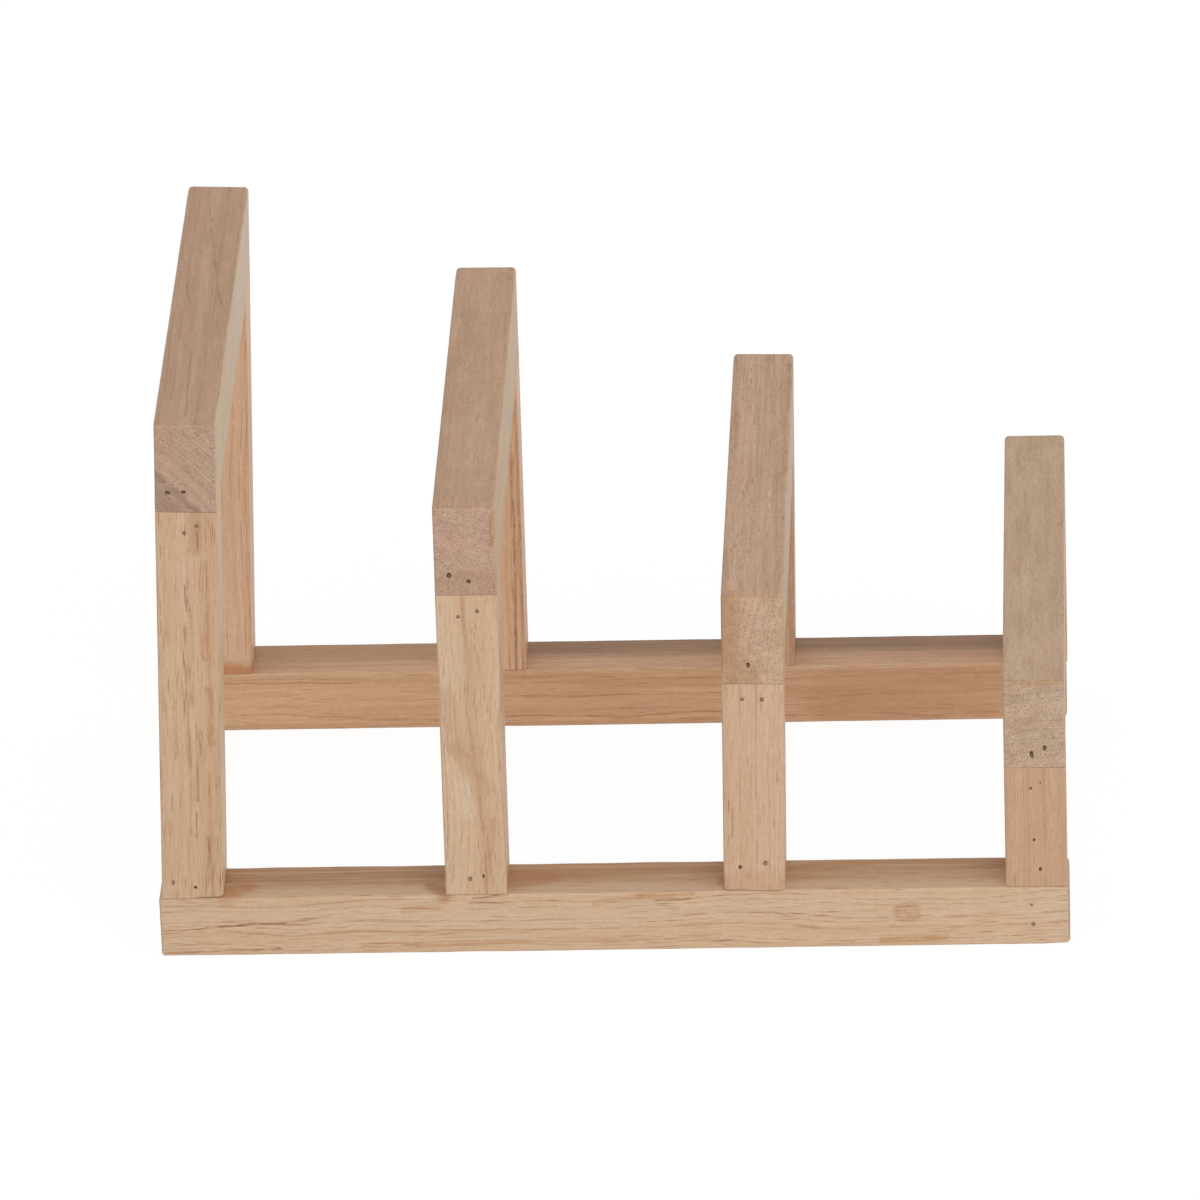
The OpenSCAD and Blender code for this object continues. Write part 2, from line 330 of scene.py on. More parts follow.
uneven_edge = add(brad_tree, "GeometryNodeSetPosition", {
    "Geometry": add(brad_tree, "GeometryNodeRealizeInstances", {0: driven}),
    "Offset": add(brad_tree, "ShaderNodeVectorMath", {0: bite, "Scale": given["Ragged"]},
                  operation="SCALE")})
add(brad_tree, "NodeGroupOutput", {0: add(brad_tree, "GeometryNodeSetMaterial", {
    "Geometry": add(brad_tree, "GeometryNodeRealizeInstances", {0: uneven_edge}),
    "Material": given["Finish"]})})


# Width and height of each front mark against an ordinary one, from the left or from the top
mark_sizes = {
    "crossbar_brads_1": ((1.25, 0.95), (1.2, 0.9)), "crossbar_brads_2": ((1.05, 1.4), (1.1, 1.1)),
    "crossbar_brads_3": ((0.9, 1.35),), "crossbar_brads_4": ((0.95, 1.9), (0.95, 1.4)),
    "upright_brads_1": ((0.95, 1.1), (1.0, 1.1)), "upright_brads_2": ((0.95, 1.0), (1.05, 1.15)),
    "upright_brads_3": ((0.95, 1.0), (1.0, 1.25)), "upright_brads_4": ((0.6, 0.65), (0.4, 0.45)),
    "foot_brads_1": ((0.8, 1.4), (0.85, 0.8)), "foot_brads_2": ((1.0, 1.4), (0.65, 1.15)),
    "foot_brads_3": ((0.85, 1.1), (1.1, 1.35)), "foot_brads_4": ((0.7, 0.7), (0.85, 1.0)),
    "rail_brads": ((0.85, 0.8), (1.05, 1.1))}


def drive(name, brads, shape, finish, ragged=0.0):
    """Puts a turned shape at each brad's place, its local Y up the face that it enters."""
    places = bpy.data.meshes.new(name)
    places.from_pydata([head - way * set_depth for head, way, _ in brads], [], [])
    turns = places.attributes.new("drive_turn", "FLOAT_VECTOR", "POINT")
    sizes = places.attributes.new("mark_size", "FLOAT_VECTOR", "POINT")
    for turn, mark, (head, way, size) in zip(turns.data, sizes.data, brads):
        across = way.cross(Vector((0, 1 if head.y < 0 else -1, 0))).normalized()
        turn.vector = Matrix((across, way.cross(across), way)).transposed().to_euler()
        mark.vector = (size[0], size[1], 1)
    return made_by(brad_tree, name, places, shape=shape, ragged=ragged, finish=finish)


# Wood fibre torn and crushed by the brad, darkened further with painted shade of the hole's recess:
# a dark, matt brown ring in the mouth of each hole
torn_fibre_width = 0.0004
torn_fibre = bpy.data.materials.new("torn_rubberwood_fibre")
torn_fibre.use_nodes = True
tree = torn_fibre.node_tree
fibre_ends = add(tree, "ShaderNodeTexNoise", {
    "Vector": add(tree, "ShaderNodeTexCoord", out="Object"),
    "Scale": 1 / torn_fibre_width, "Detail": 2})
shader = tree.nodes["Principled BSDF"]
tree.links.new(add(tree, "ShaderNodeMix", {
    0: fibre_ends, 6: linear("#563820"), 7: linear("#80603f")}, out=2, data_type="RGBA"),
    shader.inputs["Base Color"])
shader.inputs["Roughness"].default_value = 0.9

hole_shape = turned("brad_hole", [
    (mouth_radius, -hole_mouth, True), (mouth_radius, set_depth / 2, True),
    (shank_radius, set_depth + head_height, False),
    (shank_radius, set_depth + brad_length - point_length, False),
    (tip_radius, set_depth + brad_length, False)])
brad_nodes = [node for node in sorted(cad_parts) if node.endswith("brads")
              or "_brads_" in node]
brads = {}
for node in brad_nodes:
    sizes = mark_sizes[node]
    brads[node] = [(*brad, sizes[place % len(sizes)]) for place, brad in enumerate(brads_in(node))]
holes = drive("brad_holes", [brad for node in brad_nodes for brad in brads[node]],
              hole_shape, torn_fibre, ragged=0.0004)


def rubberwood(name, place, turn, pale, tan, end, seed, pith=(40, 30), ring=5.0, rings=0.5,
               streaks=0.4, lines=0.4, line_rate=8, pores=0.6, pore_length=10, drift=0.8,
               grit=1.0, clouds=0.0, marks=()):
    """Planed rubberwood, sawn from the solid: its pattern fills the stick in 3-D, in millimetres.

    pale and tan are the wood's two tones and end the tone of its end grain. pith is the growth
    rings' middle across the stick and ring their spacing. rings, streaks, lines and pores are how
    much each shows, line_rate is how many lines a ring has, pore_length spaces the pores along the
    grain, drift is how far it wanders and grit is how rough the fibres look.
    clouds is how much the tone drifts over a few millimetres.
    A mark is a tone along a line through the wood, of the wood itself or painted shade, sheen or
    highlight: the line's two ends, across, across and along the grain from the stick's middle, its
    radius, its colour and its share. With a way to face, in the scene's axes, it keeps to that
    side, and the last number is how banded it is.
    """
    ring_brown, pore_brown = "#a2663a", "#8f5630"
    fibre_depths = (0.26, 0.37, 0.5)    # fibres darken blue more than red
    cloud_depths = (0.8, 1.0, 1.2)
    relief_depth = 0.00008
    material = bpy.data.materials.new(name)
    material.use_nodes = True
    tree = material.node_tree
    shader = tree.nodes["Principled BSDF"]

    def noise(place, across, along, detail, out="Fac"):
        """Noise whose grains are so many millimetres across and along the grain."""
        scaled = add(tree, "ShaderNodeVectorMath", {
            0: place, 1: (1 / across, 1 / across, 1 / along)}, operation="MULTIPLY")
        return add(tree, "ShaderNodeTexNoise", {
            "Vector": scaled, "Scale": 1, "Detail": detail, "Roughness": 0.6}, out=out)

    def centred(colour, reach, start):
        """A noise colour as a shift of up to half the reach, added to a start."""
        middled = add(tree, "ShaderNodeVectorMath", {0: colour, 1: (0.5, 0.5, 0.5)},
                      operation="SUBTRACT")
        return add(tree, "ShaderNodeVectorMath", {0: middled, 1: reach, 2: start},
                   operation="MULTIPLY_ADD")

    # The place in the stick, in millimetres from its middle, with the grain along Z
    inside = add(tree, "ShaderNodeMapping", {
        "Vector": add(tree, "ShaderNodeTexCoord", out="Object"), "Location": place,
        "Rotation": turn, "Scale": (0.001, 0.001, 0.001)}, vector_type="TEXTURE")
    log = add(tree, "ShaderNodeVectorMath", {0: inside, 1: (37 * seed, 53 * seed, 211 * seed)},
              operation="ADD")
    # The grain wanders slowly from side to side along the stick
    wander = noise(log, 20, 50, 1, out="Color")
    grain = centred(wander, (3 * drift, 3 * drift, 0), log)
    swayed = centred(wander, (3 * drift, 3 * drift, 0), inside)
    # Growth rings round the pith, of uneven width
    from_pith = add(tree, "ShaderNodeVectorMath", {
        0: swayed, 1: (1 / ring, 1 / ring, 0), 2: (-pith[0] / ring, -pith[1] / ring, 0)},
        operation="MULTIPLY_ADD")
    ring_place = add(tree, "ShaderNodeMath", {0: add(
        tree, "ShaderNodeVectorMath", {0: from_pith}, out="Value", operation="LENGTH"),
        1: 5.3 * seed}, operation="ADD")
    growth = add(tree, "ShaderNodeTexNoise", {
        "W": ring_place, "Scale": 1, "Detail": 3, "Roughness": 0.65}, noise_dimensions="1D")
    # Streaks along the grain, fibres a third of a millimetre wide, and flecks between them
    streak = noise(grain, 1.6, 50, 4)
    fibre = noise(grain, 0.35, 9, 2)
    fleck = noise(grain, 0.6, 1.6, 2)
    tone = add(tree, "ShaderNodeMath", {
        0: growth, 1: 3 * rings, 2: add(tree, "ShaderNodeMath", {
            0: streak, 1: 3 * streaks, 2: 0.5 - 1.5 * (rings + streaks)},
            operation="MULTIPLY_ADD")}, operation="MULTIPLY_ADD")
    colour = add(tree, "ShaderNodeMix", {0: tone, 6: linear(pale), 7: linear(tan)}, out=2,
                 data_type="RGBA")
    # Thin dark lines follow the rings, broken along the grain
    ring_line = add(tree, "ShaderNodeMapRange", {
        "Value": add(tree, "ShaderNodeTexNoise", {"W": ring_place, "Scale": line_rate, "Detail": 2},
                     noise_dimensions="1D"),
        "From Min": 0.54, "From Max": 0.64, "To Min": 0, "To Max": lines})
    broken = add(tree, "ShaderNodeMapRange", {
        "Value": noise(grain, 1.0, 9, 3), "From Min": 0.42, "From Max": 0.6, "To Min": 0.1,
        "To Max": 1})
    colour = add(tree, "ShaderNodeMix", {
        0: add(tree, "ShaderNodeMath", {0: ring_line, 1: broken}, operation="MULTIPLY"),
        6: colour, 7: linear(ring_brown)}, out=2, data_type="RGBA")
    # End grain is greyer and mottled. It shows where the surface lies across the grain.
    grain_way = Euler(turn).to_matrix() @ Vector((0, 0, 1))
    across = add(tree, "ShaderNodeMath", {0: add(tree, "ShaderNodeVectorMath", {
        0: add(tree, "ShaderNodeTexCoord", out="Normal"), 1: grain_way},
        out="Value", operation="DOT_PRODUCT")}, operation="ABSOLUTE")
    end_grain = add(tree, "ShaderNodeMapRange", {
        "Value": across, "From Min": 0.45, "From Max": 0.9, "To Min": 0, "To Max": 1})
    end_level = add(tree, "ShaderNodeMapRange", {
        "Value": add(tree, "ShaderNodeMath", {0: ring_line, 1: 1.6, 2: tone},
                     operation="MULTIPLY_ADD"),
        "From Min": -0.1, "From Max": 1.3, "To Min": 1.14, "To Max": 0.8})
    end_mottle = add(tree, "ShaderNodeMapRange", {
        "Value": fibre, "From Min": 0.3, "From Max": 0.7, "To Min": 0.9, "To Max": 1.1})
    colour = add(tree, "ShaderNodeMix", {0: end_grain, 6: colour, 7: add(
        tree, "ShaderNodeVectorMath", {0: linear(end)[:3], "Scale": add(
            tree, "ShaderNodeMath", {0: end_level, 1: end_mottle}, operation="MULTIPLY")},
        operation="SCALE")}, out=2, data_type="RGBA")
    # Local tones: stains, gum lines, a knot, and on some sides painted shade, sheen and highlights
    ragged = centred(noise(grain, 3.3, 14, 3, out="Color"), (1.4, 1.4, 6), inside)
    strands = add(tree, "ShaderNodeMapRange", {
        "Value": noise(grain, 0.4, 11, 2), "From Min": 0.42, "From Max": 0.58, "To Min": 0.05,
        "To Max": 1})
    stranded = add(tree, "ShaderNodeMix", {0: end_grain, 2: strands, 3: 1.0})
    bands = add(tree, "ShaderNodeMapRange", {
        "Value": noise(grain, 1.6, 60, 4), "From Min": 0.38, "From Max": 0.62, "To Min": -0.3,
        "To Max": 0.25})
    broken_mark = add(tree, "ShaderNodeMapRange", {
        "Value": noise(grain, 0.6, 5, 2), "From Min": 0.38, "From Max": 0.55, "To Min": 0.3,
        "To Max": 1})
    for start, finish, radius, mark_colour, share, *faced in marks:
        way = Vector(finish) - Vector(start)
        along = add(tree, "ShaderNodeMath", {
            0: add(tree, "ShaderNodeVectorMath", {0: ragged, 1: way / way.length_squared},
                   out="Value", operation="DOT_PRODUCT"),
            1: way.dot(Vector(start)) / way.length_squared}, operation="SUBTRACT", use_clamp=True)
        nearest = add(tree, "ShaderNodeVectorMath", {0: along, 1: way, 2: start},
                      operation="MULTIPLY_ADD")
        amount = add(tree, "ShaderNodeMapRange", {
            "Value": add(tree, "ShaderNodeVectorMath", {0: ragged, 1: nearest}, out="Value",
                         operation="DISTANCE"),
            "From Min": radius, "From Max": radius * 0.3, "To Min": 0, "To Max": share},
            interpolation_type="SMOOTHSTEP")
        if faced:
            facing, banding = faced
            toward = add(tree, "ShaderNodeVectorMath", {
                0: add(tree, "ShaderNodeTexCoord", out="Normal"), 1: facing},
                out="Value", operation="DOT_PRODUCT")
            amount = add(tree, "ShaderNodeMath", {0: amount, 1: add(
                tree, "ShaderNodeMapRange", {
                    "Value": toward, "From Min": 0.5, "From Max": 0.9, "To Min": 0,
                    "To Max": add(tree, "ShaderNodeMath", {0: bands, 1: banding, 2: 1.0},
                                  operation="MULTIPLY_ADD")})}, operation="MULTIPLY")
        elif radius < 3:
            amount = add(tree, "ShaderNodeMath", {
                0: amount, 1: stranded if radius > 0.65 else broken_mark}, operation="MULTIPLY")
        colour = add(tree, "ShaderNodeMix", {0: amount, 6: colour, 7: linear(mark_colour)},
                     out=2, data_type="RGBA")
    # Fibres and flecks lighten and darken the tone by a few parts in a hundred
    for grains in (fibre, fleck):
        lit = add(tree, "ShaderNodeVectorMath", {
            0: grains, 1: [grit * depth for depth in fibre_depths],
            2: [1 - grit * depth / 2 for depth in fibre_depths]}, operation="MULTIPLY_ADD")
        colour = add(tree, "ShaderNodeVectorMath", {0: colour, 1: lit}, operation="MULTIPLY")
    drifted = add(tree, "ShaderNodeVectorMath", {
        0: noise(log, 5, 22, 2), 1: [clouds * depth for depth in cloud_depths],
        2: [1 - clouds * depth / 2 for depth in cloud_depths]}, operation="MULTIPLY_ADD")
    colour = add(tree, "ShaderNodeVectorMath", {0: colour, 1: drifted}, operation="MULTIPLY")
    # Pores: the open vessels, dashes along the grain and dots across it, in loose crowds
    vessel = add(tree, "ShaderNodeTexVoronoi", {
        "Vector": add(tree, "ShaderNodeVectorMath", {
            0: grain, 1: (1 / 0.42, 1 / 0.42, 1 / pore_length)}, operation="MULTIPLY"),
        "Scale": 1, "Randomness": 1}, out="Distance")
    end_vessel = add(tree, "ShaderNodeTexVoronoi", {
        "Vector": add(tree, "ShaderNodeVectorMath", {
            0: grain, 1: (1 / 0.8, 1 / 0.8, 1 / 12)}, operation="MULTIPLY"),
        "Scale": 1, "Randomness": 1}, out="Distance")
    open_pore = add(tree, "ShaderNodeMapRange", {
        "Value": add(tree, "ShaderNodeMix", {0: end_grain, 2: vessel, 3: end_vessel}),
        "From Min": 0.3, "From Max": 0.12, "To Min": 0, "To Max": 1},
        interpolation_type="SMOOTHSTEP")
    crowd = add(tree, "ShaderNodeMapRange", {
        "Value": noise(grain, 3, 30, 2), "From Min": 0.4, "From Max": 0.6, "To Min": 0.15,
        "To Max": 1})
    side_pores = add(tree, "ShaderNodeMath", {0: crowd, 1: pores}, operation="MULTIPLY")
    pore = add(tree, "ShaderNodeMath", {0: open_pore, 1: add(
        tree, "ShaderNodeMix", {0: end_grain, 2: side_pores, 3: 0.8})}, operation="MULTIPLY")
    colour = add(tree, "ShaderNodeMix", {0: pore, 6: colour, 7: linear(pore_brown)}, out=2,
                 data_type="RGBA")
    tree.links.new(colour, shader.inputs["Base Color"])
    shader.inputs["IOR"].default_value = 1.5
    tree.links.new(add(tree, "ShaderNodeMapRange", {
        "Value": fibre, "From Min": 0.3, "From Max": 0.7, "To Min": 0.42, "To Max": 0.54}),
        shader.inputs["Roughness"])
    relief = add(tree, "ShaderNodeMath", {
        0: pore, 1: -1.2, 2: add(tree, "ShaderNodeMath", {0: fibre, 1: 0.6},
                                 operation="MULTIPLY")}, operation="MULTIPLY_ADD")
    tree.links.new(add(tree, "ShaderNodeBump", {
        "Height": relief, "Strength": 0.5, "Distance": relief_depth}), shader.inputs["Normal"])
    return material


def stick(node, slot, size, place, turn, wood, **shape):
    """One planed stick that stands for its CAD node, drilled for the brads that cross it."""
    made = made_by(stick_tree, node + "_planed", size=size, place=place, turn=turn,
                   holes=holes, torn_fibre=torn_fibre, wood=rubberwood(
                       "rubberwood_" + node, place, turn, **wood), **shape)
    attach(made, "root")
    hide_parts(node)
    return made


along_x = (0, math.pi / 2, 0)
to_front, to_right, to_top = (0, -1, 0), (1, 0, 0), (0, 0, 1)
gum = "#945b30"          # the dark, thin lines that gum and dirt leave
amber = "#bd7f48"        # an orange-brown stain
rail_woods = {
    "front_rail": dict(
        pale="#e2c7aa", tan="#cca67f", end="#b99a7c", seed=1.0, pith=(-30, 60), ring=6,
        rings=0.2, streaks=0.25, lines=0.4, line_rate=13, pores=0.8,
        pore_length=14, drift=0.8, grit=0.9, marks=(
            # Painted shade: its top is darker and redder, most of all towards the rear
            ((-9.3, 7, -135), (-9.3, 7, 135), 15, "#a87646", 0.7, to_top, 1.5),
            ((-9.3, 3, -30), (-9.3, 3, 125), 12, "#c89868", 0.3, to_top, 1.0),
            ((-9.3, -6.6, -110.5), (-9.3, -3, -106), 5, amber, 0.6),
            ((-9.3, -4, -51), (-9.3, -8, -48.5), 4, "#a8693a", 0.6),
            ((-9.3, -3.9, -30), (-9.3, 0.5, -18), 4.5, "#b0713f", 0.4),
            ((-9.3, -3, 33), (-9.3, -5, 45), 5, "#b9783c", 0.55),
            # A gum line runs in from the left end
            ((1.0, -9.3, -130), (-0.4, -9.3, -107), 0.4, gum, 0.85),
            ((-0.4, -9.3, -107), (-1.0, -9.3, -94), 0.55, gum, 0.85),
            ((-1.0, -9.3, -94), (-3.4, -9.3, -81), 0.8, gum, 0.8),
            ((8.5, -9.3, -129), (7.2, -9.3, -96), 0.5, gum, 0.7),
            ((-4.6, -9.3, -60), (-5.4, -9.3, -50), 1.6, "#b5743f", 0.6),
            ((-8.3, -9.3, -40.4), (-9.2, -9.3, -30), 0.5, gum, 0.8),
            ((-7.0, -9.3, -41), (-6.2, -9.3, -31), 0.6, gum, 0.5),
            ((-6.1, -9.3, -5), (-7.9, -9.3, 7.6), 1.6, amber, 0.5),
            ((-7.9, -9.3, 7.6), (-8.8, -9.3, 22), 2.0, amber, 0.5),
            ((-6.8, -9.3, 11.8), (-7.0, -9.3, 21.8), 0.5, gum, 0.7),
            ((6.9, -9.3, 78), (6.6, -9.3, 94), 2.2, amber, 0.6),
            ((6.8, -9.3, -72), (5.2, -9.3, 30), 1.4, "#c0854f", 0.5),
            # A small knot: a darker ring round a paler middle
            ((-1.7, -9.5, 83.3), (-1.7, -9.5, 84.7), 4.3, "#a87a4e", 0.65),
            ((-1.7, -9.5, 83.3), (-1.7, -9.5, 84.7), 3.4, "#d6b08a", 0.9),
            ((-1.4, -9.5, 84.4), (-1.2, -9.5, 84.8), 1.7, "#b07c50", 0.55))),
    "rear_rail": dict(
        pale="#e7be97", tan="#cf9e78", end="#b99a7c", seed=2.0, pith=(30, 140), ring=2.6,
        rings=0.45, streaks=0.7, lines=0.5, line_rate=12, pores=0.55,
        pore_length=14, drift=0.5, marks=(
            # Painted shade on the top: darker towards the rear, with a mid tone of its own over the
            # left end
            ((-9.3, 9, -135), (-9.3, 9, 135), 15, "#855f3a", 0.82, to_top, 0.45),
            ((-9.3, 3, -135), (-9.3, 9, -40), 14, "#c39a70", 0.72, to_top, 1.0),
            ((0, -9.3, -130), (0, -9.3, -45), 12, "#ecc094", 0.5, to_front, 1.0),
            ((2, -9.3, 60), (2, -9.3, 125), 12, "#c4926c", 0.4, to_front, 1.0),
            # Painted highlights: pale lines along the front face's top and bottom edges
            ((-9.3, -9.3, -130), (-9.3, -9.3, 130), 1.4, "#e8c6a2", 0.6),
            ((9.3, -9.3, -130), (9.3, -9.3, 130), 1.5, "#dcb793", 0.6),
            ((-6.4, -9.3, -125), (-6.0, -9.3, -80), 0.4, gum, 0.5)))}
rail_arrises = {"front_rail": 0.0008, "rear_rail": 0.0005}
for seed, (node, wood) in enumerate(rail_woods.items()):
    low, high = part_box(node)
    stick(node, "rail_wood", (high.z - low.z, high.y - low.y, high.x - low.x),
          (low + high) / 2, along_x, wood, arris=rail_arrises[node],
          start_ease=0.0008, end_ease=0.0011,
          start_corner=0.001, end_corner=0.0015, waviness=0.00006, seat_share=1.0,
          seed=seed + 0.5)


# ---- Uprights --------------------------------------------------------------------------------
# Eight uprights of 17.6 by 18.8 mm rubberwood stand on the rails, grain upwards, each with its
# foot trimmed level so that the arch leans a little. Two brads are toe-nailed down through the
# foot into the rail. Sanding has rounded a foot corner on the front of the first and third arch.

stick_thickness = 0.0176
leans = [math.radians(degrees) for degrees in (1.9, 0.4, 1.1, 0.2)]
worn_feet = (0.0013, 0, -0.0009, 0)
upright_woods = {
    "front_upright_1": dict(
        pale="#e2c2a4", tan="#c49971", end="#b99a7c", seed=3.0, pith=(25, 70), ring=7,
        rings=0.25, streaks=0.25, lines=0.35, line_rate=12, pores=0.9,
        pore_length=15, drift=0.7, marks=(
            # Painted sheen: the right side is paler, as if it caught the light at a grazing angle
            ((9.4, 0, -70), (9.4, 0, 70), 60, "#e0c8a0", 0.5, to_right, 0.5),
            ((2.9, -9.3, 61), (2.6, -9.3, 50), 3.2, "#b6895a", 0.5),
            ((-4.3, -9.3, 18), (-5.0, -9.3, -34), 2.6, "#dcc09c", 0.5),
            ((-0.9, -9.3, 38), (0.1, -9.3, 31), 0.8, gum, 0.75),
            ((-0.8, -9.3, 26), (-1.1, -9.3, 4), 1.2, "#b07f4f", 0.65),
            ((-1.1, -9.3, 4), (-0.3, -9.3, -19), 1.3, "#b07f4f", 0.65),
            ((0.9, -9.3, 11), (1.1, -9.3, 1), 0.7, gum, 0.6),
            ((5.5, -9.3, 6), (6.3, -9.3, -12), 1.7, "#a97444", 0.5),
            ((2.9, -9.3, -8), (1.7, -9.3, -30), 1.2, "#a97444", 0.6),
            ((-3.9, -9.3, 2), (-3.9, -9.3, -16), 0.9, "#b98a5e", 0.6),
            ((5.1, -9.3, 45), (4.8, -9.3, 16), 1.8, "#b57a48", 0.5),
            ((1.5, -9.3, -35), (1.4, -9.3, -41), 0.4, gum, 0.7),
            ((5.4, -9.3, -42), (4.8, -9.3, -60), 2.2, gum, 0.4))),
    "front_upright_2": dict(
        pale="#e0c3a3", tan="#c69c76", end="#b99a7c", seed=4.0, pith=(30, 20), ring=9,
        rings=0.4, streaks=0.25, lines=0.3, pores=0.7, drift=2.0, marks=(
            ((-6.5, -9.3, 16), (-4.0, -9.3, -2), 3.6, "#b88b64", 0.35),
            ((-4.0, -9.3, -2), (4.5, -9.3, -14), 3.6, "#b98e68", 0.3),
            ((-3.2, -9.3, -13), (-1.6, -9.3, -21), 3.4, "#ddc6ab", 0.5),
            ((5.6, -9.3, -24), (2.9, -9.3, -44), 1.5, amber, 0.45))),
    "front_upright_3": dict(
        pale="#ddbd9e", tan="#caa280", end="#b99a7c", seed=5.0, pith=(60, 20), ring=9,
        rings=0.2, streaks=0.2, lines=0.3, pores=0.7, drift=0.7, marks=(
            ((2.3, -9.3, 30), (2.2, -9.3, 20), 0.25, gum, 0.6),
            ((-6.1, -9.3, -7), (-6.4, -9.3, -16), 0.7, gum, 0.4),
            ((1.5, -9.3, -8), (1.4, -9.3, -16), 0.7, gum, 0.4),
            ((4.0, -9.3, 11), (3.9, -9.3, 1), 0.3, gum, 0.35),
            ((-8, -9.3, -31), (8, -9.3, -31), 5.0, "#c89878", 0.4))),
    "front_upright_4": dict(
        pale="#d5af8e", tan="#c19776", end="#b99a7c", seed=6.0, pith=(-60, 20), ring=3,
        rings=0.3, streaks=0.3, lines=0.35, pores=0.5, drift=0.5),
    "rear_upright_1": dict(
        pale="#f2cdab", tan="#d6a67d", end="#b99a7c", seed=7.0, pith=(35, 15), ring=3,
        rings=0.35, streaks=0.4, lines=0.4, pores=0.25, drift=1.0, marks=(
            ((0, -9.3, -61), (9, -9.3, -61), 5, "#c07a40", 0.75),)),
    "rear_upright_2": dict(
        pale="#eec6a2", tan="#d9ab82", end="#b99a7c", seed=8.0, pith=(20, 50), ring=3,
        rings=0.35, streaks=0.4, lines=0.4, pores=0.25, drift=1.0, marks=(
            ((6.0, -9.3, 50), (6.6, -9.3, 0), 0.6, "#965f3a", 0.6),
            ((6.6, -9.3, 0), (6.0, -9.3, -48), 0.6, "#965f3a", 0.65),
            ((8.3, -9.3, 40), (8.0, -9.3, -48), 0.5, "#9a6440", 0.55))),
    "rear_upright_3": dict(
        pale="#d2aa88", tan="#b68866", end="#b99a7c", seed=9.0, pith=(-35, 20), ring=4,
        rings=0.5, streaks=0.6, pores=0.4, drift=1.0),
    "rear_upright_4": dict(
        pale="#d8b390", tan="#bf926c", end="#b99a7c", seed=10.0, pith=(30, 30), ring=5,
        rings=0.5, streaks=0.5, pores=0.4, drift=1.0)}
for row in ("front", "rear"):
    for arch, (lean, worn) in enumerate(zip(leans, worn_feet), 1):
        node = f"{row}_upright_{arch}"
        low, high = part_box(node)
        slope = Vector((math.sin(lean), 0, math.cos(lean)))
        length = (high.z - low.z - stick_thickness / 2 * math.sin(lean)) / math.cos(lean)
        foot = Vector((low.x + stick_thickness / 2 / math.cos(lean), (low.y + high.y) / 2, low.z))
        stick(node, "upright_wood", (stick_thickness, high.y - low.y, length),
              foot + slope * length / 2, (0, lean, 0), upright_woods[node], arris=0.0006,
              start_ease=0.00015, end_ease=0.00015, start_corner=0.0004, end_corner=0.0003,
              waviness=0.00006, seat_share=1.0, foot_skew=math.tan(lean),
              worn_foot=worn if row == "front" else 0.0,
              seed=arch + (3.5 if row == "front" else 9.5))


# ---- Crossbars -------------------------------------------------------------------------------
# Four crossbars of 17.6 by 27.5 mm rubberwood lie front to back over the uprights, so their end
# grain shows at the front. Each is nailed both ways through the joint. They were sanded after
# sawing, and most of all at the rear corners.

